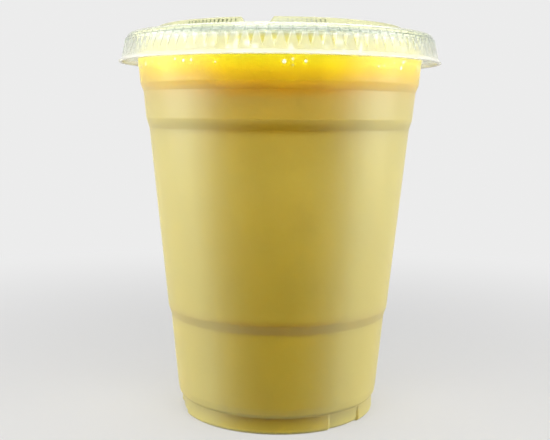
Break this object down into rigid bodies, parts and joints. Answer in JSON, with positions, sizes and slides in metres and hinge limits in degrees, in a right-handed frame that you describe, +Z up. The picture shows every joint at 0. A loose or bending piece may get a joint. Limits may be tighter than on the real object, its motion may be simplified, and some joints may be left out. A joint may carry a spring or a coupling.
{
  "type": "mango lassi in a lidded plastic cup",
  "caption": "Mango lassi filling a clear tapered plastic takeaway cup, shut with a clear flat push-fit lid that has a ribbed skirt and a broken stacking ridge.",
  "frame": {"origin": "centre of the cup's standing ring, on the surface that the cup stands on", "axes": "+Z up along the cup's axis, -Y towards the side that is seen"},
  "size_m": [0.1056, 0.1056, 0.1267],
  "materials": {
    "cup_plastic": "clear, smooth, glossy",
    "lassi": "thick opaque yoghurt drink, mango yellow",
    "lid_plastic": "clear, smooth, glossy"
  },
  "bodies": {
    "root": {"cup": "cup_plastic", "lassi": "lassi", "lid": "lid_plastic"}
  },
  "joints": []
}
